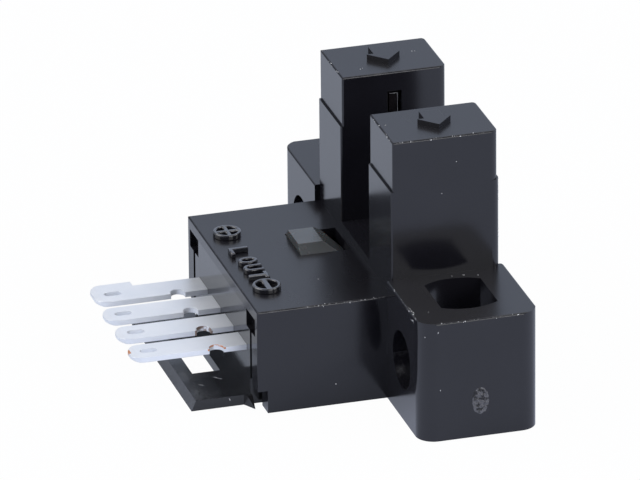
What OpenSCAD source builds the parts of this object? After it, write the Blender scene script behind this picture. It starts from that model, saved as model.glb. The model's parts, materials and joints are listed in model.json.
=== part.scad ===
// Slotted optical switch: a fork-shaped photoelectric sensor with four plug-in terminals.
// Origin: middle of the base, between the two mounting lugs, on the optical axis.
// X runs from the terminals (negative) to the back of the towers, Y across the slot, Z up.

/* [Slot and towers] */
// Width of the sensing slot, between the two towers
slot_w = 5.2; // [4.6:0.1:6.4]
// Thickness of each tower, across the slot
tower_t = 4.2; // [3.7:0.1:4.6]
// Length of each tower along the slot, below the parting step
tower_len = 6.1; // [5.6:0.1:7]
// Height of the tower tops above the base
tower_h = 14.8; // [13:0.1:18]
// Height of the slightly narrower cap above the parting step
tower_cap_h = 2.85; // [1:0.05:4]
// Depth of the parting step on each long side of a tower
parting_step = 0.1; // [0.05:0.01:0.2]
// Radius of the towers' upright edges on the terminals' side
tower_front_r = 0.1; // [0.05:0.05:0.3]
// Radius of the towers' upright edges at the back
tower_back_r = 0.45; // [0.2:0.05:0.7]
// Distance from a tower top down to the optical axis
axis_drop = 2.35; // [2.2:0.05:2.8]

/* [Mounting lugs] */
// Distance between the mounting holes
hole_pitch = 19; // [18.8:0.1:22]
// Distance from a mounting hole to the outer end of its lug
lug_end = 3.5; // [3:0.1:5]
// Width of a lug along the slot
lug_w = 6.65; // [6.3:0.05:8]
// Height of a lug above the base
lug_h = 6.85; // [6.5:0.05:8]
// Radius of the lugs' upright corners
lug_corner_r = 1; // [0.5:0.1:1.4]
// How far the ledges behind the lugs run on along the towers' backs
lug_ledge = 0.5; // [0.3:0.05:1]
// Diameter of the cross holes through the lugs
cross_hole_d = 3.2; // [2.8:0.1:3.4]
// Height of the cross holes above the base
cross_hole_h = 3.4; // [3:0.1:3.8]
// Width between the flats of the upright holes
drop_hole_w = 3.15; // [2.8:0.05:3.4]
// Overall length of the upright holes, across the slot
drop_hole_len = 4.05; // [3.8:0.05:4.4]
// Radius of the bowed ends of the upright holes
drop_hole_bow_r = 2.85; // [2.4:0.05:3.2]

/* [Terminal box] */
// Length of the terminal box, out from the towers
box_len = 7.5; // [7.2:0.1:10]
// Height of the terminal box above the base
box_h = 5.95; // [5.7:0.05:7]
// Rise of the slot floor above the top of the terminal box
slot_rise = 0.4; // [0.2:0.05:0.8]
// Wall thickness of the case
wall = 0.8; // [0.7:0.05:0.9]
// Thickness of the terminal box's top
roof_t = 0.6; // [0.5:0.05:0.8]
// Radius of the rounded upper edges of the case
edge_r = 0.1; // [0.04:0.01:0.25]

/* [Base cover] */
// Thickness of the floor plate
floor_t = 0.9; // [0.6:0.05:1]
// Thickness of the end wall that carries the terminals
end_wall_t = 1.05; // [0.9:0.05:1.4]
// Gap between the base cover and the case
cover_gap = 0.1; // [0.05:0.01:0.15]
// How far the latch tongue stands out of the terminal box
tongue_reach = 3.3; // [2.8:0.05:4]
// Thickness of the latch tongue
tongue_t = 0.58; // [0.45:0.01:0.85]
// Setback of the tongue's near edge from the side of the terminal box
tongue_setback = 1.45; // [0.8:0.05:2]
// Length of the latch hole along the terminals
latch_hole_len = 1.55; // [1:0.05:1.8]
// Width of the latch hole across the terminals
latch_hole_w = 5.2; // [3:0.1:7]

/* [Terminals] */
// Distance between neighbouring terminals
terminal_pitch = 2.54; // [2.4:0.01:2.6]
// Width of a terminal
terminal_w = 1.7; // [1.4:0.05:1.9]
// Thickness of a terminal
terminal_t = 0.3; // [0.2:0.02:0.4]
// How far the terminals stand out of the terminal box
terminal_reach = 6.3; // [5.6:0.1:8]
// Height of the terminals' upper face above the base
terminal_h = 3.2; // [3:0.05:3.4]

/* [Indicator] */
// Length of the light guide along the terminals
guide_len = 2.85; // [2.4:0.05:3.2]
// Width of the light guide across the terminals
guide_w = 3.05; // [2.8:0.05:3.4]
// How far the light guide stands above the terminal box
guide_rise = 0.45; // [0.2:0.05:0.6]
// Offset of the light guide from the middle of the terminal box
guide_offset = 1.33; // [1:0.05:1.6]

/* [Circuit board] */
// Thickness of the circuit board
board_t = 1; // [0.8:0.1:1.2]

/* [Hidden] */

$fn = 48;
// Overlap that makes a cut or a join clean
eps = 0.05;

// Colours
black = "#2d2e33";
smoke = "#6f7376";
infrared_red = "#2a1418";
tin = "#d5d8de";
board_green = "#2f6b3c";
clear_resin = "#c9d4dc";
chip_black = "#202124";
ceramic = "#c9b48c";
led_white = "#d9dccb";

// Body
body_w = slot_w + 2 * tower_t;
slot_floor_h = box_h + slot_rise;
front_x = -tower_len / 2;
back_x = tower_len / 2;
end_x = front_x - box_len;
cap_len = tower_len - 2 * parting_step;
tower_y = (slot_w + tower_t) / 2;
flange_len = hole_pitch + 2 * lug_end;
axis_h = tower_h - axis_drop;

// Hollow inside the case
cavity_h = box_h - roof_t;
cavity_y = body_w / 2 - wall;
cavity_back_x = back_x - wall;
shaft_in_y = slot_w / 2 + wall;
shaft_depth = tower_t - 2 * wall;
// Room above the optical axis for the emitter and the receiver
shaft_headroom = 1.5;
shaft_top_h = axis_h + shaft_headroom;
shaft_half_len = back_x - wall;

// Light slits in the towers' inner faces
slit_w = 0.8;
slit_len = 2.5;

// Direction arrows on the tower tops
arrow_rise = 0.3;
arrow_len = 2;
arrow_head_w = 1.85;
arrow_head_len = 1;
arrow_stem_w = 1.1;

// Snap windows at the end of the terminal box
post_w = 1.1;
post_y = body_w / 2 - post_w;
// Gap between the end wall and the posts beside it
post_gap = 0.35;
snap_h = 1;
snap_sill_h = cavity_h - snap_h;
snap_inset = 1;
snap_skin = 0.43;
snap_in_y = post_y - snap_inset;
snap_out_y = body_w / 2 - snap_skin;
snap_depth = 0.72;
hook_setback = 0.35;
hook_h = 0.45;
// Notches at the foot of the terminal box's side walls
foot_notch_len = 0.55;
foot_notch_h = 1.3;

// Latch tongue
tongue_near_y = -(body_w / 2 - tongue_setback);
tongue_far_y = body_w / 2;
tongue_mid_y = (tongue_near_y + tongue_far_y) / 2;
tongue_slope = 0.25;
latch_hole_edge = 0.72;
// How far the tongue widens where it meets the box, at its foot and at its top
tongue_flare = 0.75;
tongue_flare_top = 0.25;

// Terminals
terminal_count = 4;
terminal_fit = 0.02;
terminal_under_h = terminal_h - terminal_t;
terminal_tail = 1.7;
tip_x = end_x - terminal_reach;
tip_r = 0.7;
tip_bevel = 0.35;
tip_end_t = terminal_t / 2;
// Flat left at the middle of a rounded end
end_flat = 0.01;
tip_hole_len = 0.95;
tip_hole_w = 0.5;
tip_hole_from_end = 1.08;
tie_notch_w = 0.8;
tie_notch_depth = 0.5;
tie_notch_from_box = 1.65;
pad_w = 0.55;
pad_len = 2.4;
// The padded tip ends a little earlier than the others
pad_setback = 0.15;

// Light guide
guide_setback = 0.3;
guide_x1 = front_x - guide_setback;
guide_x0 = guide_x1 - guide_len;
guide_gap = 0.04;
guide_flat_len = 1.4;
guide_bevel = 0.5;
guide_fall = 1;
// Corner left open beside the head, at the back and on the far side
guide_cut_len = 0.85;
guide_cut_w = 1.4;
guide_lip = 0.35;
guide_lip_t = 0.6;
guide_foot_t = 0.4;

// Circuit board and what it carries
board_top_h = terminal_under_h;
board_under_h = board_top_h - board_t;
board_inset = 0.2;
board_x0 = end_x + end_wall_t + board_inset;
board_x1 = cavity_back_x - board_inset;
board_y = cavity_y - board_inset;
rib_y = 2.2;
rib_w = 0.8;
lead_w = 0.45;
lead_hole_d = 0.8;
lead_pitch = 1.27;
lead_stickout = 0.35;

// Windows, emitter and receiver
window_t = 0.35;
window_half_len = 1.6;
window_rib_w = 0.5;
window_rib_setback = 0.2;
window_half_h = 1.3;
package_len = 3;
package_h = 2.6;
package_gap = 0.05;
dome_rise = 0.3;
dome_r = 0.85;
package_front_y = shaft_in_y + window_t + dome_rise + package_gap;
package_t = shaft_depth - window_t - dome_rise - 2 * package_gap;
lead_y = package_front_y + package_t / 2;
guide_led_x = guide_x0 + guide_len / 2;

// A flat rectangle with rounded corners, centred on the origin
module rounded_rect(size, r) {
    square([size.x - 2 * r, size.y], center = true);
    square([size.x, size.y - 2 * r], center = true);
    for (sx = [-1, 1], sy = [-1, 1])
        translate([sx * (size.x / 2 - r), sy * (size.y / 2 - r)])
            circle(r);
}

// A box given by its two corners
module span(low, high) {
    translate(low)
        cube(high - low);
}

// Extrudes an outline drawn in X and Z along Y, from y0 to y1
module along_y(y0, y1) {
    translate([0, y1, 0])
        rotate([90, 0, 0])
            linear_extrude(y1 - y0)
                children();
}

// Extrudes an outline drawn in Y and Z along X, from x0 to x1
module along_x(x0, x1) {
    translate([x0, 0, 0])
        rotate([90, 0, 90])
            linear_extrude(x1 - x0)
                children();
}

// Raises an outline of the given size from Z = 0, with upper edges of radius edge_r
module soft_rise(size) {
    intersection() {
        linear_extrude(size.z)
            children();
        along_y(-size.y, size.y)
            rounded_rect([size.x, 2 * size.z], edge_r);
        along_x(-size.x, size.x)
            rounded_rect([size.y, 2 * size.z], edge_r);
    }
}

// A block with upright edges of radius r and upper edges of radius edge_r, standing on Z = 0
module soft_block(size, r) {
    soft_rise(size)
        rounded_rect([size.x, size.y], r);
}

// Outline of a tower, rounder at its back than on the terminals' side
module tower_outline(length) {
    intersection() {
        translate([length / 2, 0])
            rounded_rect([2 * length, tower_t], tower_front_r);
        translate([-length / 2, 0])
            rounded_rect([2 * length, tower_t], tower_back_r);
    }
}

// One tower, standing on the base
module tower() {
    linear_extrude(tower_h - tower_cap_h)
        tower_outline(tower_len);
    soft_rise([cap_len, tower_t, tower_h])
        tower_outline(cap_len);
}

// Arrow on a tower top: a broad head that points towards -Y, with a short stem
module arrow_outline() {
    tip = -arrow_len / 2;
    neck = tip + arrow_head_len;
    polygon([
        [0, tip], [arrow_head_w / 2, neck], [arrow_stem_w / 2, neck],
        [arrow_stem_w / 2, -tip], [-arrow_stem_w / 2, -tip],
        [-arrow_stem_w / 2, neck], [-arrow_head_w / 2, neck]
    ]);
}

// Upright hole of a lug: two flats, and bowed ends
module drop_hole_outline() {
    bow_centre = drop_hole_bow_r - drop_hole_len / 2;
    intersection() {
        square([drop_hole_w, drop_hole_len], center = true);
        translate([0, bow_centre])
            circle(drop_hole_bow_r);
        translate([0, -bow_centre])
            circle(drop_hole_bow_r);
    }
}

// Both lugs, cut off at the sides of the body except for a short ledge at the back
module lugs() {
    difference() {
        soft_block([lug_w, flange_len, lug_h], lug_corner_r);
        span([-lug_w, -body_w / 2, -eps], [lug_w, body_w / 2, lug_h + eps]);
    }
    for (s = [-1, 1])
        intersection() {
            translate([0, s * body_w / 2, 0])
                soft_block([lug_w, 2 * lug_ledge, lug_h], lug_ledge - edge_r);
            span([0, -body_w, 0], [lug_w, body_w, lug_h]);
        }
}

module case_outside() {
    span([front_x, -body_w / 2, 0], [back_x, body_w / 2, slot_floor_h]);
    for (s = [-1, 1])
        translate([0, s * tower_y, 0]) {
            tower();
            translate([0, 0, tower_h - eps])
                linear_extrude(arrow_rise + eps)
                    arrow_outline();
        }
    lugs();
    intersection() {
        translate([front_x, 0, 0])
            soft_block([2 * box_len, body_w, box_h], edge_r);
        span([end_x - eps, -body_w, -eps], [front_x + eps, body_w, box_h + eps]);
    }
}

// Hollow for the base cover and the circuit board, open below and at the terminal end
module case_hollow() {
    span([end_x + end_wall_t, -cavity_y, -eps], [cavity_back_x, cavity_y, cavity_h]);
    span([end_x - eps, -post_y, -eps], [end_x + end_wall_t + eps, post_y, cavity_h]);
    for (s = [0, 1])
        mirror([0, s, 0]) {
            span([-shaft_half_len, shaft_in_y, -eps],
                 [shaft_half_len, shaft_in_y + shaft_depth, shaft_top_h]);
            span([end_x - eps, snap_in_y, snap_sill_h], [end_x + snap_depth, snap_out_y, cavity_h]);
            span([end_x - eps, post_y - eps, -eps], [end_x + foot_notch_len, body_w, foot_notch_h]);
            span([-slit_w / 2, slot_w / 2 - eps, axis_h - slit_len / 2],
                 [slit_w / 2, shaft_in_y + eps, axis_h + slit_len / 2]);
        }
    span([guide_x0, guide_offset - guide_w / 2, cavity_h - eps],
         [guide_x1, guide_offset + guide_w / 2, box_h + eps]);
}

module lug_holes() {
    for (s = [-1, 1])
        translate([0, s * hole_pitch / 2, 0]) {
            translate([0, 0, -eps])
                linear_extrude(lug_h + 2 * eps)
                    drop_hole_outline();
            translate([-lug_w, 0, cross_hole_h])
                rotate([0, 90, 0])
                    cylinder(d = cross_hole_d, h = 2 * lug_w);
        }
}

module case() {
    color(black)
        difference() {
            case_outside();
            case_hollow();
            lug_holes();
        }
}

// Latch tongue under the terminals: a plate with a sloping end and a sloping gusset
module tongue() {
    outer_x = end_x - tongue_reach;
    along_y(tongue_near_y, tongue_far_y)
        polygon([
            [outer_x, 0], [end_x + eps, 0], [end_x + eps, tongue_t], [outer_x + tongue_slope, tongue_t]
        ]);
    flare_y = tongue_near_y - tongue_flare;
    intersection() {
        linear_extrude(tongue_t)
            polygon([
                [end_x - tongue_flare / 2, tongue_near_y], [end_x + eps, flare_y],
                [end_x + eps, tongue_near_y + eps], [end_x - tongue_flare / 2, tongue_near_y + eps]
            ]);
        along_x(end_x - tongue_flare, end_x + 2 * eps)
            polygon([
                [flare_y, 0], [tongue_near_y + 2 * eps, 0], [tongue_near_y + 2 * eps, tongue_t],
                [tongue_near_y - tongue_flare_top, tongue_t]
            ]);
    }
}

// Snap hooks and board ribs come in pairs, on both sides of the terminals
module cover_pairs() {
    for (s = [0, 1])
        mirror([0, s, 0]) {
            span([end_x + hook_setback, snap_in_y - eps, snap_sill_h],
                 [end_x + snap_depth - cover_gap, snap_out_y - cover_gap, snap_sill_h + hook_h]);
            span([board_x0, rib_y, floor_t - eps], [board_x1, rib_y + rib_w, board_under_h]);
        }
}

module base_cover() {
    wall_y = post_y - post_gap;
    floor_y = cavity_y - cover_gap;
    color(black)
        difference() {
            union() {
                span([end_x + end_wall_t + cover_gap, -floor_y, 0],
                     [cavity_back_x - cover_gap, floor_y, floor_t]);
                span([end_x, -wall_y, 0], [end_x + end_wall_t + cover_gap + eps, wall_y, floor_t]);
                span([end_x, -wall_y, 0], [end_x + end_wall_t, wall_y, snap_sill_h]);
                span([end_x, -snap_in_y, 0], [end_x + end_wall_t, snap_in_y, cavity_h]);
                cover_pairs();
                tongue();
            }
            terminal_slots();
            translate([end_x - latch_hole_edge - latch_hole_len / 2, tongue_mid_y, 0])
                cube([latch_hole_len, latch_hole_w, 4 * tongue_t], center = true);
        }
}

module terminal_slots() {
    for (i = [0:terminal_count - 1])
        span([end_x - eps, terminal_y(i) - terminal_w / 2 - terminal_fit, terminal_under_h - terminal_fit],
             [end_x + end_wall_t + eps, terminal_y(i) + terminal_w / 2 + terminal_fit,
              terminal_h + terminal_fit]);
}

// Place of each terminal across the box, counted from the far side
function terminal_y(i) = ((terminal_count - 1) / 2 - i) * terminal_pitch;

// Flat outline of a terminal; a padded one is wider on its far side, near the tip
module terminal_outline(padded) {
    tail_x = end_x + end_wall_t + terminal_tail;
    half_w = terminal_w / 2;
    tip = terminal_tip(padded);
    difference() {
        union() {
            translate([tip + tip_r, -half_w])
                square([tail_x - tip - tip_r, terminal_w]);
            if (padded) {
                tip_end(tip, terminal_w + pad_w, pad_w / 2);
                translate([tip + tip_r, -half_w])
                    square([pad_len - tip_r, terminal_w + pad_w]);
            } else {
                tip_end(tip, terminal_w, 0);
            }
        }
        translate([tip + tip_hole_from_end, padded ? pad_w / 4 : 0])
            rounded_rect([tip_hole_len, tip_hole_w], tip_hole_w / 2 - end_flat);
        translate([end_x - tie_notch_from_box, -half_w])
            tie_notch();
    }
}

// Where a terminal ends
function terminal_tip(padded) = tip_x + (padded ? pad_setback : 0);

// Rounded end of a terminal
module tip_end(tip, w, y) {
    translate([tip + tip_r, y])
        intersection() {
            rounded_rect([2 * tip_r, w], tip_r - end_flat);
            translate([-tip_r, -w / 2])
                square([tip_r + eps, w]);
        }
}

// Round-bottomed notch in the near edge, where the terminals were cut from their strip
module tie_notch() {
    r = tie_notch_w / 2;
    translate([0, tie_notch_depth - r])
        circle(r);
    translate([-r, -eps])
        square([tie_notch_w, tie_notch_depth - r + eps]);
}

module terminal(i, padded = false) {
    tail_x = end_x + end_wall_t + terminal_tail;
    tip = terminal_tip(padded);
    mid = terminal_t / 2;
    color(tin)
        translate([0, terminal_y(i), terminal_under_h])
            intersection() {
                linear_extrude(terminal_t)
                    terminal_outline(padded);
                along_y(-terminal_w - pad_w, terminal_w + pad_w)
                    polygon([
                        [tip, mid - tip_end_t / 2], [tip + tip_bevel, 0], [tail_x, 0],
                        [tail_x, terminal_t], [tip + tip_bevel, terminal_t], [tip, mid + tip_end_t / 2]
                    ]);
            }
}

module supply_terminal() {
    terminal(0, padded = true);
}

module mode_terminal() {
    terminal(1);
}

module output_terminal() {
    terminal(2);
}

module common_terminal() {
    terminal(3);
}

// Light guide: a bevelled head in the box's top, a lip under it and two feet on the board.
// One corner is cut off, from the head down to the lip.
module light_guide() {
    top = box_h + guide_rise;
    y0 = guide_offset - guide_w / 2 + guide_gap;
    y1 = guide_offset + guide_w / 2 - guide_gap;
    x0 = guide_x0 + guide_gap;
    x1 = guide_x1 - guide_gap;
    foot_x1 = x1 - guide_cut_len;
    lip_under = cavity_h - guide_lip_t;
    color(smoke) {
        difference() {
            union() {
                intersection() {
                    along_y(y0, y1)
                        polygon([
                            [x0, lip_under], [x1, lip_under], [x1, top - guide_fall],
                            [x0 + guide_flat_len, top], [x0, top]
                        ]);
                    along_x(x0, x1)
                        polygon([
                            [y0, lip_under], [y1, lip_under], [y1, top - guide_bevel],
                            [y1 - guide_bevel, top], [y0 + guide_bevel, top], [y0, top - guide_bevel]
                        ]);
                }
                span([x0 - guide_lip, y0 - guide_lip, lip_under], [x1, y1 + guide_lip, cavity_h]);
            }
            translate([0, 0, lip_under - eps])
                linear_extrude(top)
                    guide_cut_outline(x1, y1);
        }
        for (y = [y0, y1 - guide_foot_t])
            span([x0, y, board_top_h], [foot_x1, y + guide_foot_t, lip_under + eps]);
    }
}

// Cut-off corner of the light guide, from the corner (x, y) of its head outwards
module guide_cut_outline(x, y) {
    reach = 1 + guide_lip / guide_cut_w;
    polygon([
        [x - guide_cut_len * reach, y + guide_lip + eps], [x - guide_cut_len, y],
        [x, y - guide_cut_w], [x + eps, y - guide_cut_w], [x + eps, y + guide_lip + eps]
    ]);
}

// Dark window behind a light slit, with a rib that stands in the slit
module slit_window() {
    color(infrared_red) {
        span([-window_half_len, shaft_in_y, axis_h - window_half_h],
             [window_half_len, shaft_in_y + window_t, axis_h + window_half_h]);
        span([-window_rib_w / 2, slot_w / 2 + window_rib_setback, axis_h - slit_len / 2 + window_rib_setback],
             [window_rib_w / 2, shaft_in_y + eps, axis_h + slit_len / 2 - window_rib_setback]);
    }
}

module emitter_window() {
    slit_window();
}

module receiver_window() {
    mirror([0, 1, 0])
        slit_window();
}

// Side-looking package with a small lens towards the slot
module optical_package() {
    span([-package_len / 2, package_front_y, axis_h - package_h / 2],
         [package_len / 2, package_front_y + package_t, axis_h + package_h / 2]);
    translate([0, package_front_y + dome_r - dome_rise, axis_h])
        intersection() {
            sphere(dome_r);
            translate([-dome_r, -dome_r, -dome_r])
                cube([2 * dome_r, dome_rise + eps, 2 * dome_r]);
        }
}

// Straight legs of a package, through the board
module package_leads(places) {
    for (x = places)
        span([x - lead_w / 2, lead_y - lead_w / 2, board_under_h - lead_stickout],
             [x + lead_w / 2, lead_y + lead_w / 2, axis_h - package_h / 2]);
}

emitter_lead_places = [-lead_pitch, lead_pitch];
receiver_lead_places = [-lead_pitch, 0, lead_pitch];

module infrared_emitter() {
    color(clear_resin)
        optical_package();
}

module emitter_leads() {
    color(tin)
        package_leads(emitter_lead_places);
}

module photo_receiver() {
    color(chip_black)
        mirror([0, 1, 0])
            optical_package();
}

module receiver_leads() {
    color(tin)
        mirror([0, 1, 0])
            package_leads(receiver_lead_places);
}

module circuit_board() {
    color(board_green)
        difference() {
            span([board_x0, -board_y, board_under_h], [board_x1, board_y, board_top_h]);
            for (x = emitter_lead_places)
                translate([x, lead_y, board_under_h - eps])
                    cylinder(d = lead_hole_d, h = board_t + 2 * eps);
            for (x = receiver_lead_places)
                translate([x, -lead_y, board_under_h - eps])
                    cylinder(d = lead_hole_d, h = board_t + 2 * eps);
        }
}

// Two-ended chip part lying on the board along Y, with end caps a little larger than its body
module chip(place, size, cap_len) {
    translate([place.x, place.y, board_top_h]) {
        translate([-size.x / 2 + chip_skin, -size.y / 2 + eps, chip_skin])
            cube([size.x - 2 * chip_skin, size.y - 2 * eps, size.z - 2 * chip_skin]);
        for (s = [0, 1])
            mirror([0, s, 0])
                translate([-size.x / 2, size.y / 2 - cap_len, 0])
                    cube([size.x, cap_len, size.z]);
    }
}

// Gull-wing leg that leaves a package sideways and lies on the board
module gull_leg(reach, h, w) {
    knee = reach * gull_knee;
    translate([0, w / 2, 0])
        rotate([90, 0, 0])
            linear_extrude(w)
                polygon([
                    [-eps, h], [-eps, h - gull_t], [knee, h - gull_t], [knee, 0],
                    [reach, 0], [reach, gull_t], [knee + gull_t, gull_t], [knee + gull_t, h]
                ]);
}

// Sizes and places of the small parts on the board
chip_size = [0.8, 1.6, 0.45];
chip_cap = 0.3;
chip_skin = 0.03;
chip_from_front = 1;
chip_from_shaft = 1.2;
indicator_resistor_from_front = 0.6;
indicator_resistor_y = -1.6;
led_size = [0.8, 1.6, 0.6];
diode_size = [1.25, 2, 0.9];
diode_from_front = 3.2;
transistor_size = [1.3, 2.9, 1];
transistor_lift = 0.08;
transistor_leg_w = 0.4;
transistor_leg_reach = 0.55;
transistor_leg_h = 0.55;
transistor_leg_pitch = 0.95;
transistor_from_guide = 0.9;
transistor_y = -3.4;
// Thickness of a gull-wing leg, and where along its reach it bends down
gull_t = 0.12;
gull_knee = 0.4;

module indicator_led() {
    color(led_white)
        chip([guide_led_x, guide_offset], led_size, chip_cap);
}

module emitter_resistor() {
    color(chip_black)
        chip([front_x + chip_from_front, shaft_in_y - chip_from_shaft], chip_size, chip_cap);
}

module indicator_resistor() {
    color(chip_black)
        chip([front_x - indicator_resistor_from_front, indicator_resistor_y], chip_size, chip_cap);
}

module bypass_capacitor() {
    color(ceramic)
        chip([front_x + chip_from_front, chip_from_shaft - shaft_in_y], chip_size, chip_cap);
}

module regulator_diode() {
    color(chip_black)
        chip([front_x + diode_from_front, 0], diode_size, chip_cap);
}

module output_transistor() {
    color(chip_black)
        translate([guide_x0 + transistor_from_guide, transistor_y, board_top_h]) {
            translate([-transistor_size.x / 2, -transistor_size.y / 2, transistor_lift])
                cube([transistor_size.x, transistor_size.y, transistor_size.z - transistor_lift]);
            for (y = [-transistor_leg_pitch, transistor_leg_pitch])
                translate([transistor_size.x / 2, y, 0])
                    gull_leg(transistor_leg_reach, transistor_leg_h, transistor_leg_w);
            mirror([1, 0, 0])
                translate([transistor_size.x / 2, 0, 0])
                    gull_leg(transistor_leg_reach, transistor_leg_h, transistor_leg_w);
        }
}

case();
base_cover();
light_guide();
emitter_window();
receiver_window();
supply_terminal();
mode_terminal();
output_terminal();
common_terminal();
circuit_board();
infrared_emitter();
emitter_leads();
photo_receiver();
receiver_leads();
indicator_led();
output_transistor();
regulator_diode();
emitter_resistor();
indicator_resistor();
bypass_capacitor();
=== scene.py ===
"""Looks of the slotted optical switch: materials, moulded marks, wear, floor, light and camera."""
import json
import math
import random

import bmesh
import bpy
from mathutils import Matrix, Vector, noise
from mathutils.bvhtree import BVHTree


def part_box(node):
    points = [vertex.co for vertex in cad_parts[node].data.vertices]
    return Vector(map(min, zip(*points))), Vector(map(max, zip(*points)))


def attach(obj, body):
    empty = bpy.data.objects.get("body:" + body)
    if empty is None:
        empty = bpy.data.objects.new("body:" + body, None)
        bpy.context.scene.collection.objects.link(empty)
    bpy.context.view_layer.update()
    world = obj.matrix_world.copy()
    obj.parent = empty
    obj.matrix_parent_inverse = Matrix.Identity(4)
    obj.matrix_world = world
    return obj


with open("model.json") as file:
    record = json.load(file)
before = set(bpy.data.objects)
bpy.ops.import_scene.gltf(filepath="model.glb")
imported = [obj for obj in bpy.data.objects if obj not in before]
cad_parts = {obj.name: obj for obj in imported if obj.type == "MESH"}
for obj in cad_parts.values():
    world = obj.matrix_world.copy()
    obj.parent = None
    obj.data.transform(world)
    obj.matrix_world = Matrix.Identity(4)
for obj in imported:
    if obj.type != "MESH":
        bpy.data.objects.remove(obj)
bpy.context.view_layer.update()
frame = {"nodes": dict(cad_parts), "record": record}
nodes = frame["nodes"]
MM = 0.001


# Materials, with the rounding of the shading at edges in millimetres
NOISE_LOW = 0.3
NOISE_HIGH = 0.7
EDGE_SOFT = 0.04
GUIDE_SOFT = 0.05
SPECK_SOFT = 0.03


class Nodes:
    """Adds nodes to a tree and joins them."""

    def __init__(self, tree):
        self.tree = tree

    def add(self, kind, inputs=None, **settings):
        new = self.tree.nodes.new(kind)
        for name, value in settings.items():
            setattr(new, name, value)
        for name, value in (inputs or {}).items():
            self.put(new, name, value)
        return new

    def put(self, target, name, value):
        socket = target.inputs[name]
        if isinstance(value, bpy.types.NodeSocket):
            self.tree.links.new(value, socket)
        else:
            socket.default_value = value

    def math(self, operation, first, second=0.0):
        made = self.add("ShaderNodeMath", {0: first, 1: second}, operation=operation)
        return made.outputs["Value"]

    def span(self, value, low, high, to_low=0.0, to_high=1.0):
        inputs = {"Value": value, "From Min": low, "From Max": high, "To Min": to_low, "To Max": to_high}
        return self.add("ShaderNodeMapRange", inputs).outputs["Result"]

    def blend(self, factor, first, second):
        made = self.add("ShaderNodeMix", {0: factor, 6: first, 7: second}, data_type="RGBA")
        return made.outputs[2]

    def axis(self, vector, index):
        return self.add("ShaderNodeSeparateXYZ", {"Vector": vector}).outputs[index]

    def inside(self, value, low, high):
        above = self.math("GREATER_THAN", value, low)
        below = self.math("LESS_THAN", value, high)
        return self.math("MULTIPLY", above, below)

    def mix_shaders(self, factor, first, second):
        return self.add("ShaderNodeMixShader", {0: factor, 1: first, 2: second}).outputs["Shader"]


class Look(Nodes):
    """A material under construction: its shader, and the nodes that feed it."""

    def __init__(self, name):
        self.material = bpy.data.materials.new(name)
        self.material.use_nodes = True
        super().__init__(self.material.node_tree)
        self.shader = self.tree.nodes["Principled BSDF"]
        self.place = self.add("ShaderNodeTexCoord").outputs["Object"]
        self.facing = self.add("ShaderNodeNewGeometry").outputs["Normal"]

    def shade(self, **inputs):
        for name, value in inputs.items():
            self.put(self.shader, name.replace("_", " ").title().replace("Ior", "IOR"), value)

    def vary(self, pattern, low=0.0, high=1.0):
        """Spreads the middle of a noise pattern over a range."""
        return self.span(pattern, NOISE_LOW, NOISE_HIGH, low, high)

    def noise(self, scale, detail=2.0, stretch=None):
        place = self.place
        if stretch:
            place = self.add("ShaderNodeMapping", {"Vector": place, "Scale": stretch}).outputs["Vector"]
        made = self.add("ShaderNodeTexNoise", {"Vector": place, "Scale": scale, "Detail": detail})
        return made.outputs["Fac"]

    def soften(self, radius):
        """Rounds the shading of the edges, and returns that normal with a mask of the edges."""
        soft = self.add("ShaderNodeBevel", {"Radius": radius}).outputs["Normal"]
        same = self.add("ShaderNodeVectorMath", {0: soft, 1: self.facing}, operation="DOT_PRODUCT")
        edge = self.span(same.outputs["Value"], 0.995, 0.9)
        return soft, edge

    def bump(self, height, depth, normal, strength=1.0):
        inputs = {"Height": height, "Distance": depth, "Strength": strength, "Normal": normal}
        return self.add("ShaderNodeBump", inputs).outputs["Normal"]


DARK_SHARE = 0.85
WORN_SHARE = 0.3
WORN_ROUGHNESS = 0.3


def moulded_black(name, tone, wear_and_glint_tone, gloss, top_blur, grain, coat=0.0):
    """Black moulded plastic: faint mottling, a fine grain, pale wear in places along its edges; on the
    legends that pale edge tone is also a painted glint.
    """
    look = Look(name)
    upward = look.axis(look.facing, 2)
    edge = look.soften(EDGE_SOFT * MM)[1]
    brow = look.inside(upward, 0.15, 0.97)
    patch = look.span(look.noise(900, 4), 0.52, 0.68)
    worn = look.math("MULTIPLY", look.math("MAXIMUM", edge, brow), patch)
    worn = look.math("MULTIPLY", worn, WORN_SHARE)
    dark = tuple(DARK_SHARE * v for v in tone[:3]) + (1.0,)
    base = look.blend(look.vary(look.noise(420, 3)), dark, tone)
    # Pale tone in the patches along the edges: wear on the case; on the legends, wear together with painted
    # glints.
    look.shade(base_color=look.blend(worn, base, wear_and_glint_tone))
    smear = look.noise(260, 4, (1.0, 0.35, 1.0))
    rough = look.vary(smear, gloss[0], gloss[1])
    rough = look.math("ADD", rough, look.span(upward, 0.6, 0.9, 0.0, top_blur))
    look.shade(roughness=look.math("ADD", rough, look.math("MULTIPLY", worn, WORN_ROUGHNESS)))
    look.shade(normal=look.bump(look.noise(14000, 2), grain, look.facing))
    look.shade(coat_weight=coat, coat_roughness=gloss[0])
    return look.material


TIN_DARK = (0.8, 0.83, 0.87, 1)
TIN_LIGHT = (0.86, 0.88, 0.91, 1)
TIN_MIRROR = 0.5
TIN_ROUGHNESS = (0.34, 0.46)
COPPER = (0.62, 0.27, 0.13, 1)
TARNISH = (0.3, 0.22, 0.18, 1)


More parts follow.
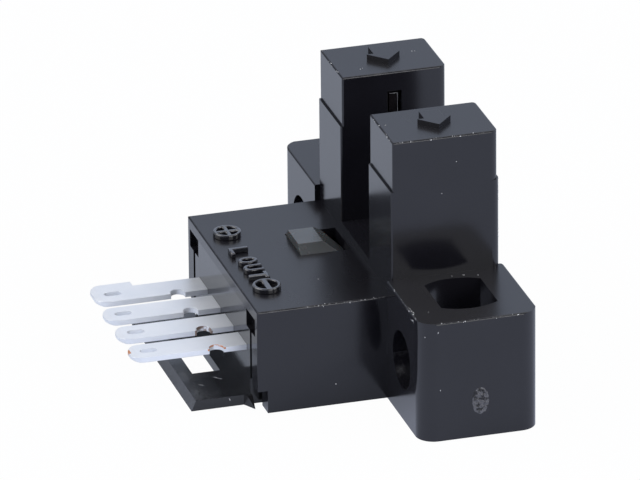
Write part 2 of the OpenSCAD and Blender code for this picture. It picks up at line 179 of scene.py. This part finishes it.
def tinned_metal(name, bare=None, tone=COPPER):
    """Tin plate, half mirror and half matt, drawn along X; bare metal shows where a function marks it."""
    look = Look(name)
    soft = look.soften(EDGE_SOFT * MM)[0]
    lines = look.noise(1.0, 3, (300, 9000, 9000))
    tin = look.blend(look.vary(look.noise(700, 3)), TIN_DARK, TIN_LIGHT)
    if bare:
        torn = look.span(look.noise(3200, 2), 0.36, 0.5)
        tin = look.blend(look.math("MULTIPLY", bare(look), torn), tin, tone)
    look.shade(base_color=tin, metallic=TIN_MIRROR)
    look.shade(roughness=look.vary(lines, *TIN_ROUGHNESS))
    look.shade(normal=look.bump(lines, 0.002 * MM, soft, 0.5))
    return look.material


def cut_side(look):
    """The walls of a strip, as against its upper and lower faces."""
    return look.math("LESS_THAN", look.math("ABSOLUTE", look.axis(look.facing, 2)), 0.5)


NOTCH_HALF = 0.5
NOTCH_FROM_BOX = 1.65
TIP_LEN = 0.13
TIP_CORNER = 0.3
terminal_low, terminal_high = [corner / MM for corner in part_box("common_terminal")]
notch_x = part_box("case")[0].x / MM - NOTCH_FROM_BOX


def notch_rim(depth):
    """Marks the wall of the tie notch, down to a depth below the terminal's upper face."""
    def mark(look):
        along = look.axis(look.place, 0)
        height = look.axis(look.place, 2)
        there = look.inside(along, (notch_x - NOTCH_HALF) * MM, (notch_x + NOTCH_HALF) * MM)
        upper = look.math("GREATER_THAN", height, (terminal_high.z - depth) * MM)
        return look.math("MULTIPLY", look.math("MULTIPLY", there, upper), cut_side(look))
    return mark


def rim_and_tip(depth):
    """Marks the notch, and the far half of the terminal's rounded tip."""
    middle_y = (terminal_low.y + terminal_high.y) / 2
    rim = notch_rim(depth)

    def mark(look):
        along = look.axis(look.place, 0)
        across = look.axis(look.place, 1)
        tip = look.math("LESS_THAN", along, (terminal_low.x + TIP_LEN) * MM)
        far = look.inside(across, middle_y * MM, (terminal_high.y - TIP_CORNER) * MM)
        return look.math("MAXIMUM", rim(look), look.math("MULTIPLY", tip, far))
    return mark


GUIDE_DARK = (0.06, 0.064, 0.065, 1)
GUIDE_LIGHT = (0.08, 0.085, 0.086, 1)
GUIDE_ROUGHNESS = (0.18, 0.28)


def smoke_guide(name):
    """Smoke-grey translucent plastic with faint streaks of flow."""
    look = Look(name)
    soft = look.soften(GUIDE_SOFT * MM)[0]
    flow = look.noise(600, 4, (0.4, 1.0, 1.0))
    base = look.blend(look.vary(flow), GUIDE_DARK, GUIDE_LIGHT)
    look.shade(base_color=base, ior=1.58)
    look.shade(roughness=look.vary(look.noise(1500, 2), *GUIDE_ROUGHNESS))
    look.shade(normal=look.bump(look.noise(9000, 2), 0.001 * MM, soft, 0.5))
    look.shade(subsurface_weight=0.1, subsurface_scale=0.4 * MM)
    return look.material


def speckled(name, low, high, gloss, scale, bump=0.003, limits=(0.35, 0.65)):
    """Plain two-tone mottling."""
    look = Look(name)
    soft = look.soften(SPECK_SOFT * MM)[0]
    look.shade(base_color=look.blend(look.span(look.noise(scale, 4), limits[0], limits[1]), low, high))
    look.shade(roughness=look.vary(look.noise(2 * scale, 2), gloss[0], gloss[1]))
    look.shade(normal=look.bump(look.noise(4 * scale, 2), bump * MM, soft, 0.5))
    return look.material


case_look = moulded_black(
    "case_plastic", (0.0085, 0.0083, 0.0112, 1), (0.1, 0.1, 0.105, 1), (0.14, 0.19), 0.1, 0.0004 * MM)
cover_look = moulded_black(
    "cover_plastic", (0.0115, 0.0112, 0.0125, 1), (0.08, 0.08, 0.084, 1), (0.12, 0.18), 0.05, 0.0003 * MM,
    coat=0.25)
# The legends' pale edge tone is partly wear and partly painted glints on their rounded shoulders.
legend_look = moulded_black(
    "legend_plastic", (0.0085, 0.0083, 0.0112, 1), (0.3, 0.3, 0.31, 1), (0.1, 0.15), 0.12, 0.0003 * MM,
    coat=1.0)
worn_look = speckled("worn_plastic", (0.05, 0.05, 0.055, 1), (0.22, 0.22, 0.23, 1), (0.4, 0.6), 6000)
crumb_look = speckled("plastic_crumb", (0.55, 0.55, 0.56, 1), (0.9, 0.9, 0.92, 1), (0.5, 0.7), 9000)
torn_look = speckled(
    "torn_plastic", (0.003, 0.003, 0.004, 1), (0.095, 0.095, 0.106, 1), (0.4, 0.6), 4200, 0.04, (0.4, 0.5))
# Pale tone of the window rib ridges: a painted highlight along the rib edges.
highlight_rim_look = speckled("window_highlight_rim", (0.16, 0.16, 0.165, 1), (0.36, 0.36, 0.375, 1), (0.2, 0.3), 3000)
rubbed_look = speckled("rubbed_plastic", (0.03, 0.03, 0.032, 1), (0.1, 0.1, 0.104, 1), (0.3, 0.45), 5000)

LOOKS = {
    "case_plastic": case_look,
    "cover_plastic": cover_look,
    "guide_plastic": smoke_guide("guide_plastic"),
    "window_plastic": speckled(
        "window_plastic", (0.004, 0.0035, 0.0038, 1), (0.007, 0.0055, 0.006, 1), (0.12, 0.2), 900, 0.001),
    "tinned_metal": tinned_metal("tinned_metal"),
    "board_laminate": speckled(
        "board_laminate", (0.02, 0.11, 0.04, 1), (0.04, 0.17, 0.07, 1), (0.3, 0.45), 1200),
    "clear_resin": speckled("clear_resin", (0.5, 0.54, 0.58, 1), (0.6, 0.64, 0.68, 1), (0.12, 0.2), 1500),
    "dark_resin": speckled(
        "dark_resin", (0.012, 0.012, 0.014, 1), (0.02, 0.02, 0.022, 1), (0.3, 0.5), 2500),
    "chip_ceramic": speckled(
        "chip_ceramic", (0.42, 0.34, 0.23, 1), (0.52, 0.44, 0.32, 1), (0.4, 0.6), 2500),
}
ONE_OFFS = {
    "output_terminal": tinned_metal("tinned_metal_dull", notch_rim(0.3), TARNISH),
    "common_terminal": tinned_metal("tinned_metal_bare", rim_and_tip(0.11)),
}
for part in frame["record"]["subparts"]:
    data = nodes[part["node"]].data
    data.materials.clear()
    data.materials.append(ONE_OFFS.get(part["node"], LOOKS[part["material_slot"]]))


# Places on the surfaces, in millimetres, found by rays from outside
FAR = 60.0
DOWN = Vector((0, 0, -1))
INWARD = Vector((0, 1, 0))
ONWARD = Vector((1, 0, 0))


def solid(name):
    mesh = nodes[name].data
    return BVHTree.FromPolygons([v.co / MM for v in mesh.vertices], [p.vertices for p in mesh.polygons])


case_solid = solid("case")
cover_solid = solid("base_cover")


def seat(tree, through, direction):
    """Where a ray that comes from far away and runs through a point meets the surface, and its normal."""
    direction = Vector(direction).normalized()
    return tree.ray_cast(Vector(through) - FAR * direction, direction)[:2]


box_top = seat(case_solid, (-8, -5, 0), DOWN)[0].z
box_near = seat(case_solid, (-7, 0, 4), INWARD)[0].y
lug_top = seat(case_solid, (2.6, -8, 0), DOWN)[0].z
lug_left = seat(case_solid, (0, -9.5, 5.6), ONWARD)[0].x
lug_front = seat(case_solid, (0, 0, 2), INWARD)[0].y
tower_top = seat(case_solid, (2, -4, 0), DOWN)[0].z
tower_front = seat(case_solid, (1, 0, 10), INWARD)[0].y
cap_left = seat(case_solid, (0, -5, 13.5), ONWARD)[0].x


def put_piece(name, mesh, look):
    """Turns a mesh in millimetres into a piece of the part."""
    mesh.name = name
    mesh.transform(Matrix.Scale(MM, 4))
    mesh.materials.clear()
    mesh.materials.append(look)
    piece = bpy.data.objects.new(name, mesh)
    bpy.context.scene.collection.objects.link(piece)
    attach(piece, "root")


def put_built(name, build, look):
    mesh = bpy.data.meshes.new(name)
    build.to_mesh(mesh)
    build.free()
    put_piece(name, mesh, look)


# Raised legends on the top of the terminal box
LEGEND_RISE = 0.3
LEGEND_SOFT = 0.07
LEGEND_SUNK = 0.02
RING_R = 0.77
RING_W = 0.19
STROKE = 0.22
MINUS_STROKE = 0.3
LETTER_W = 0.8
LETTER_H = 1.08
LETTER_STEP = 1.03
PLUS_PLACE = (-9.23, 3.6)
MINUS_PLACE = (-9.17, -3.9)
L_PLACE = (-9.84, 1.3)
OUT_PLACE = (-9.78, -0.1)


def arc(centre, radius, start, end, count=12):
    steps = [math.radians(start + (end - start) * i / count) for i in range(count + 1)]
    return [(centre[0] + radius[0] * math.cos(a), centre[1] + radius[1] * math.sin(a)) for a in steps]


def circle(radius, count=48):
    return arc((0, 0), (radius, radius), 0, 360 - 360 / count, count - 1)


def turned(outline, way):
    """The outline, run anticlockwise when way is 1 and clockwise when it is -1."""
    area = sum(a[0] * b[1] - b[0] * a[1] for a, b in zip(outline, outline[1:] + outline[:1]))
    return outline if area * way > 0 else outline[::-1]


def raised_mark(name, outlines, hollows, place):
    """Raises flat outlines with softened edges; they are read along -Y, with their tops towards +X."""
    curve = bpy.data.curves.new(name, "CURVE")
    curve.dimensions = "2D"
    curve.fill_mode = "BOTH"
    curve.extrude = (LEGEND_RISE + LEGEND_SUNK) / 2 - LEGEND_SOFT
    curve.bevel_depth = LEGEND_SOFT
    curve.offset = -LEGEND_SOFT
    curve.bevel_resolution = 6
    for outline in [turned(o, 1) for o in outlines] + [turned(h, -1) for h in hollows]:
        spline = curve.splines.new("POLY")
        spline.points.add(len(outline) - 1)
        spline.use_cyclic_u = True
        for point, (u, v) in zip(spline.points, outline):
            point.co = (u, v, 0, 1)
    drawn = bpy.data.objects.new(name + "_curve", curve)
    bpy.context.scene.collection.objects.link(drawn)
    bpy.context.view_layer.update()
    mesh = bpy.data.meshes.new_from_object(drawn.evaluated_get(bpy.context.evaluated_depsgraph_get()))
    bpy.data.objects.remove(drawn)
    middle = Vector((place[0], place[1], box_top + (LEGEND_RISE - LEGEND_SUNK) / 2))
    mesh.transform(Matrix.Translation(middle) @ Matrix.Rotation(-math.pi / 2, 4, "Z"))
    put_piece(name, mesh, legend_look)


def quarter(u_sign, v_sign):
    """The hollow between two arms of a plus inside the ring."""
    r = RING_R - RING_W
    half = STROKE / 2
    start = math.degrees(math.asin(half / r))
    edge = arc((0, 0), (r, r), start, 90 - start)
    return [(u_sign * u, v_sign * v) for u, v in [(half, half)] + edge]


def half_moon(v_sign):
    """The hollow on one side of a minus inside the ring."""
    r = RING_R - RING_W
    start = math.degrees(math.asin(MINUS_STROKE / 2 / r))
    return [(u, v_sign * v) for u, v in arc((0, 0), (r, r), start, 180 - start, 24)]


def shifted(outline, du):
    return [(u + du, v) for u, v in outline]


def oval(inset):
    half_w = LETTER_W / 2 - inset
    half_h = LETTER_H / 2 - inset
    return arc((LETTER_W / 2, LETTER_H / 2), (half_w, half_h), 0, 345, 23)


def letter_u():
    r = LETTER_W / 2
    inner_r = r - STROKE
    outer = [(LETTER_W, LETTER_H)] + arc((r, r), (r, r), 0, -180) + [(0, LETTER_H)]
    inner = [(STROKE, LETTER_H)] + arc((r, r), (inner_r, inner_r), 180, 360)
    return outer + inner + [(LETTER_W - STROKE, LETTER_H)]


def letter_t():
    mid = LETTER_W / 2
    low = LETTER_H - STROKE
    half = STROKE / 2
    return [
        (mid - half, 0), (mid + half, 0), (mid + half, low), (LETTER_W, low),
        (LETTER_W, LETTER_H), (0, LETTER_H), (0, low), (mid - half, low),
    ]


letter_l = [
    (0, 0), (LETTER_W, 0), (LETTER_W, STROKE), (STROKE, STROKE), (STROKE, LETTER_H), (0, LETTER_H),
]
out_letters = [oval(0), shifted(letter_u(), LETTER_STEP), shifted(letter_t(), 2 * LETTER_STEP)]
quarters = [quarter(su, sv) for su in (-1, 1) for sv in (-1, 1)]
raised_mark("legend_plus", [circle(RING_R)], quarters, PLUS_PLACE)
raised_mark("legend_minus", [circle(RING_R)], [half_moon(-1), half_moon(1)], MINUS_PLACE)
raised_mark("legend_l", [letter_l], [], L_PLACE)
raised_mark("legend_out", out_letters, [oval(STROKE)], OUT_PLACE)


# Gate scar on the front of the near lug
SCAR_PLACE = (0.0, 2.07)
SCAR_HALF = (0.48, 0.79)
SCAR_RINGS = 14
SCAR_SPOKES = 56
SCAR_RAGGED = 0.07
SCAR_RISE = 0.03
SCAR_PITS = 0.05
SCAR_LEAST = 0.004
SCAR_SUNK = 0.01


def gate_scar():
    """A torn oval, slightly proud of the face, with a pitted middle."""
    build = bmesh.new()
    rings = []
    for i in range(1, SCAR_RINGS + 1):
        share = i / SCAR_RINGS
        ring = []
        for j in range(SCAR_SPOKES):
            a = 2 * math.pi * j / SCAR_SPOKES
            ragged = 1 + SCAR_RAGGED * noise.noise((2 * math.cos(a), 2 * math.sin(a), 5.0))
            x = SCAR_PLACE[0] + SCAR_HALF[0] * share * ragged * math.cos(a)
            z = SCAR_PLACE[1] + SCAR_HALF[1] * share * ragged * math.sin(a)
            pits = noise.noise((9 * x, 9 * z, 1.0)) + 0.6 * noise.noise((21 * x, 21 * z, 2.0))
            height = max(SCAR_LEAST, SCAR_RISE + SCAR_PITS * pits)
            if i == SCAR_RINGS:
                height = -SCAR_SUNK
            ring.append(build.verts.new((x, lug_front - height, z)))
        rings.append(ring)
    middle = build.verts.new((SCAR_PLACE[0], lug_front - SCAR_RISE, SCAR_PLACE[1]))
    for j in range(SCAR_SPOKES):
        k = (j + 1) % SCAR_SPOKES
        build.faces.new((middle, rings[0][j], rings[0][k]))
        for inner, outer in zip(rings, rings[1:]):
            build.faces.new((inner[j], outer[j], outer[k], inner[k]))
    put_built("gate_scar", build, torn_look)


gate_scar()


# Crumbs and slivers of flash along the edges
rng = random.Random(7)


def add_crumb(build, place, normal, size, stretch=1.0):
    """A ragged crumb half sunk in the surface."""
    basis = normal.to_track_quat("Z", "Y").to_matrix() @ Matrix.Rotation(rng.uniform(0, math.pi), 3, "Z")
    scale = (size * stretch, size * rng.uniform(0.6, 1.0), size * rng.uniform(0.4, 0.8))
    for vert in bmesh.ops.create_icosphere(build, subdivisions=1, radius=1)["verts"]:
        bent = vert.co * rng.uniform(0.7, 1.2)
        bent = Vector([b * s for b, s in zip(bent, scale)])
        vert.co = place + basis @ bent


def add_sliver(build, start, end, normal, width):
    """A thin ridge between two places on a surface."""
    side = (end - start).cross(normal).normalized() * width / 2
    crest = (start + end) / 2 + normal.normalized() * width * rng.uniform(0.3, 0.7)
    low = [build.verts.new(p) for p in (start, (start + end) / 2 + side, end, (start + end) / 2 - side)]
    top = build.verts.new(crest)
    for a, b in zip(low, low[1:] + low[:1]):
        build.faces.new((a, b, top))


def crumbs_along(build, start, end, toward, count, size, spread=0.06):
    start = Vector(start)
    end = Vector(end)
    for _ in range(count):
        aim = start.lerp(end, rng.random()) + spread * Vector([rng.uniform(-1, 1) for _ in range(3)])
        place, normal = seat(case_solid, aim, toward)
        add_crumb(build, place, normal, size * rng.uniform(0.5, 1.3), rng.uniform(0.8, 1.8))


def slivers_along(build, start, end, toward, step, share, width):
    start = Vector(start)
    end = Vector(end)
    count = int((end - start).length / step)
    for i in range(count):
        if rng.random() > share:
            continue
        first, normal = seat(case_solid, start.lerp(end, i / count), toward)
        second = seat(case_solid, start.lerp(end, (i + rng.uniform(0.6, 1.1)) / count), toward)[0]
        add_sliver(build, first, second, normal, width * rng.uniform(0.6, 1.3))


FROM_LEFT = (1, 0, -1)
FROM_FRONT = (0, 1, -1)
RIGHT_RIM = (-0.96, 0.28, 0)
# Crumbs that stand alone: those seen on upward faces, and those seen on forward faces
TOP_CRUMBS = [
    (1.91, 5.07), (-1.65, 3.51), (1.75, 5.1), (-1.5, 3.6), (-2.6, -4.3), (0.2, -7.21),
    (0.84, -7.26), (1.57, -7.49), (-6.17, -3.49), (-2.4, -11.4),
]
FRONT_CRUMBS = [(-0.23, 11.56), (-2.35, 6.33), (-3.0, 6.06), (-2.24, 2.96), (-6.2, 1.2), (0.6, 13.3)]


def edge_crumbs():
    build = bmesh.new()
    crumbs_along(build, (lug_left, -12, lug_top), (lug_left, -10.6, lug_top), FROM_LEFT, 13, 0.04, 0.2)
    crumbs_along(build, (lug_left, -11.1, lug_top), (lug_left, -7, lug_top), FROM_LEFT, 7, 0.03)
    crumbs_along(build, (-2.4, lug_front, lug_top), (2.4, lug_front, lug_top), FROM_FRONT, 7, 0.035)
    crumbs_along(build, (cap_left, -6.6, tower_top), (cap_left, -3, tower_top), FROM_LEFT, 9, 0.035)
    crumbs_along(build, (-2.8, tower_front, tower_top), (2.6, tower_front, tower_top), FROM_FRONT, 9, 0.035)
    crumbs_along(build, (cap_left, 3, tower_top), (cap_left, 6.6, tower_top), FROM_LEFT, 6, 0.03)
    crumbs_along(build, (-7.8, box_near, box_top), (-3.5, box_near, box_top), FROM_FRONT, 9, 0.03)
    crumbs_along(build, (2.6, -6.4, 8.2), (2.6, -6.4, 12), RIGHT_RIM, 14, 0.04, 0.02)
    for x, y in TOP_CRUMBS:
        place, normal = seat(case_solid, (x, y, 0), DOWN)
        add_crumb(build, place, normal, 0.025, rng.uniform(1, 3))
    for x, z in FRONT_CRUMBS:
        place, normal = seat(case_solid, (x, 0, z), INWARD)
        add_crumb(build, place, normal, 0.035, rng.uniform(1, 1.6))
    put_built("edge_crumbs", build, crumb_look)


def edge_flash():
    build = bmesh.new()
    slivers_along(build, (-7.8, box_near, box_top), (-3.4, box_near, box_top), FROM_FRONT, 0.2, 0.8, 0.045)
    slivers_along(
        build, (-2.3, lug_front, lug_top), (2.3, lug_front, lug_top), FROM_FRONT, 0.2, 0.35, 0.025)
    slivers_along(build, (lug_left, -12, lug_top), (lug_left, -7, lug_top), FROM_LEFT, 0.2, 0.35, 0.022)
    slivers_along(
        build, (-2.8, tower_front, tower_top), (2.4, tower_front, tower_top), FROM_FRONT, 0.2, 0.3, 0.025)
    put_built("edge_flash", build, worn_look)


edge_crumbs()
edge_flash()


# Ejector mark and scratches on the latch tongue
EJECTOR_PLACE = (-12.52, -2.8)
EJECTOR_R = 0.67
SCRATCHES = [
    ((-11.9, -2.6), (-11.6, -2.9)),
    ((-11.65, -2.8), (-11.45, -3.1)),
    ((-12.9, -3.3), (-12.6, -3.6)),
]
TICK_TOP = (-11.75, 0, 0.5)
TICK_FOOT = (-11.68, 0, 0.32)


def slivers_between(build, pairs, width):
    for first, second in pairs:
        start, normal = seat(cover_solid, (first[0], first[1], 0), DOWN)
        end = seat(cover_solid, (second[0], second[1], 0), DOWN)[0]
        add_sliver(build, start, end, normal, width)


def ejector_mark():
    build = bmesh.new()
    path = arc(EJECTOR_PLACE, (EJECTOR_R, EJECTOR_R), 205, 95, 16)
    slivers_between(build, zip(path, path[1:]), 0.04)
    put_built("ejector_mark", build, rubbed_look)


def tongue_scratches():
    build = bmesh.new()
    slivers_between(build, SCRATCHES, 0.03)
    tick_top, normal = seat(cover_solid, TICK_TOP, INWARD)
    tick_foot = seat(cover_solid, TICK_FOOT, INWARD)[0]
    add_sliver(build, tick_top, tick_foot, normal, 0.05)
    put_built("tongue_scratches", build, crumb_look)


ejector_mark()
tongue_scratches()

# Pale ridges on the ribs of the two windows, painted highlights along the rib edges
RIB_HALF_W = 0.25
RIB_HALF_H = 1.05
RIM_W = 0.045


def add_ridge(build, start, end, normal):
    """A low three-sided ridge between two places on a surface."""
    side = (end - start).cross(normal).normalized() * RIM_W / 2
    crest = normal.normalized() * RIM_W / 2
    first, last = [[build.verts.new(p + q) for q in (side, crest, -side)] for p in (start, end)]
    for i, j in ((0, 1), (1, 2), (2, 0)):
        build.faces.new((first[i], first[j], last[j], last[i]))
    build.faces.new(first)
    build.faces.new(last[::-1])


def window_highlight_rim(window, facing):
    """Ridges along the upper edge and the tower-back edge of a window's rib, coloured pale as a painted
    highlight.
    """
    build = bmesh.new()
    tree = solid(window)
    low, high = [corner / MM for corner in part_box(window)]
    middle_z = (low.z + high.z) / 2
    side_x = RIB_HALF_W - RIM_W / 2
    top_z = middle_z + RIB_HALF_H - RIM_W / 2
    corners = [(-side_x, top_z), (side_x, top_z), (side_x, middle_z - RIB_HALF_H + RIM_W / 2)]
    places = [seat(tree, (x, 0, z), facing)[0] for x, z in corners]
    for start, end in zip(places, places[1:]):
        add_ridge(build, start, end, -facing)
    put_built(window + "_rim", build, highlight_rim_look)


window_highlight_rim("emitter_window", INWARD)
window_highlight_rim("receiver_window", -INWARD)

# Floor
FLOOR_R = 0.9
FLOOR_DROP = 0.02
FLOOR_LOW = (0.58, 0.63, 0.75, 1)
FLOOR_HIGH = (0.62, 0.67, 0.79, 1)
NEAR_FROM = -3
NEAR_TO = -10
PALE_SHARE = 0.5
WHITE_SHARE = 0.98
MIRRORED_FLOOR = (0.62, 0.67, 0.77, 1)
MIRRORED_NEAR_FLOOR = (0.9, 0.97, 1.21, 1)
WHITE = (1, 1, 1, 1)


def make_floor():
    """A pale floor that keeps the object's shadow, and is nearly white where the camera sees it."""
    rim = bmesh.new()
    bmesh.ops.create_circle(rim, cap_ends=True, radius=FLOOR_R, segments=96)
    mesh = bpy.data.meshes.new("floor")
    rim.to_mesh(mesh)
    rim.free()
    floor = bpy.data.objects.new("floor", mesh)
    floor.location.z = -FLOOR_DROP * MM
    bpy.context.scene.collection.objects.link(floor)
    paper = bpy.data.materials.new("floor_paper")
    paper.use_nodes = True
    paper.node_tree.nodes.clear()
    made = Nodes(paper.node_tree)
    path = made.add("ShaderNodeLightPath").outputs
    grain = made.add("ShaderNodeTexNoise", {"Scale": 60}).outputs["Fac"]
    lit = made.add("ShaderNodeBsdfDiffuse", {"Color": made.blend(grain, FLOOR_LOW, FLOOR_HIGH)})
    white = made.add("ShaderNodeEmission", {"Color": WHITE})
    place = made.add("ShaderNodeTexCoord").outputs["Object"]
    near = made.span(made.axis(place, 1), NEAR_FROM * MM, NEAR_TO * MM)
    pale = made.add("ShaderNodeEmission", {"Color": made.blend(near, MIRRORED_FLOOR, MIRRORED_NEAR_FLOOR)})
    mirrored = made.math("MAXIMUM", path["Is Glossy Ray"], path["Is Transmission Ray"])
    pale_share = made.math("MULTIPLY", mirrored, PALE_SHARE)
    white_share = made.math("MULTIPLY", path["Is Camera Ray"], WHITE_SHARE)
    seen = made.mix_shaders(pale_share, lit.outputs["BSDF"], pale.outputs["Emission"])
    whole = made.mix_shaders(white_share, seen, white.outputs["Emission"])
    made.add("ShaderNodeOutputMaterial", {"Surface": whole})
    mesh.materials.append(paper)


make_floor()

# World
MIRRORED_LEFT = (0.2, 0.23, 0.28, 1)
MIRRORED_RIGHT = (0.6, 0.68, 0.85, 1)
MIRRORED_FRONT = (0.26, 0.28, 0.34, 1)
MIRRORED_TOP = (1.0, 1.0, 1.02, 1)
AMBIENT_LEFT = (0.42, 0.42, 0.46, 1)
AMBIENT_RIGHT = (0.55, 0.56, 0.6, 1)
RIGHT_SPAN = (-0.3, 0.2)
BACK_SPAN = (-0.2, 0.4)
HIGH_SPAN = (0.45, 0.8)


def make_world():
    """White to the camera; a room that is brighter on the right for everything else."""
    world = bpy.data.worlds.new("studio")
    bpy.context.scene.world = world
    world.use_nodes = True
    world.node_tree.nodes.clear()
    made = Nodes(world.node_tree)
    path = made.add("ShaderNodeLightPath").outputs
    toward = made.add("ShaderNodeTexCoord").outputs["Generated"]
    side = made.span(made.axis(toward, 0), *RIGHT_SPAN)
    behind = made.span(made.axis(toward, 1), *BACK_SPAN)
    high = made.math("MULTIPLY", behind, made.span(made.axis(toward, 2), *HIGH_SPAN))
    mirrored = made.math("MAXIMUM", path["Is Glossy Ray"], path["Is Transmission Ray"])
    ambient = made.blend(side, AMBIENT_LEFT, AMBIENT_RIGHT)
    walls = made.blend(behind, MIRRORED_FRONT, made.blend(side, MIRRORED_LEFT, MIRRORED_RIGHT))
    room = made.blend(mirrored, ambient, made.blend(high, walls, MIRRORED_TOP))
    seen = made.blend(path["Is Camera Ray"], room, WHITE)
    light = made.add("ShaderNodeBackground", {"Color": seen})
    made.add("ShaderNodeOutputWorld", {"Surface": light.outputs["Background"]})


make_world()


# Lamps
def softbox(name, place, width, power):
    """A square soft lamp that faces the object."""
    lamp = bpy.data.lights.new(name, "AREA")
    lamp.shape = "SQUARE"
    lamp.size = width
    lamp.energy = power
    holder = bpy.data.objects.new(name, lamp)
    holder.location = place
    holder.rotation_euler = (-Vector(place)).to_track_quat("-Z", "Y").to_euler()
    bpy.context.scene.collection.objects.link(holder)


softbox("front_light", (0.205, -0.7, 0.32), width=0.44, power=1.9)
softbox("side_light", (0.5, -0.26, 0.42), width=0.36, power=1.9)
softbox("left_light", (-0.47, 0.09, 0.38), width=0.5, power=2.2)

# Camera
EYE = Vector((-148.879, -492.918, 232.08)) * MM
FORWARD = Vector((0.25651, 0.87897, -0.40202)).normalized()
ROLL = math.radians(-0.511)
LENS = 584.0
SENSOR_W = 36


def make_camera():
    level = FORWARD.cross(Vector((0, 0, 1))).normalized()
    upward = level.cross(FORWARD)
    right = level * math.cos(ROLL) + upward * math.sin(ROLL)
    back = -FORWARD
    up = back.cross(right)
    camera = bpy.data.cameras.new("camera")
    camera.sensor_width = SENSOR_W
    camera.lens = LENS
    camera.clip_start = 0.01
    camera.clip_end = 20
    holder = bpy.data.objects.new("camera", camera)
    turn = Matrix((right, up, back)).transposed()
    holder.matrix_world = Matrix.Translation(EYE) @ turn.to_4x4()
    bpy.context.scene.collection.objects.link(holder)
    bpy.context.scene.camera = holder


make_camera()
bpy.context.scene.view_settings.view_transform = "Standard"
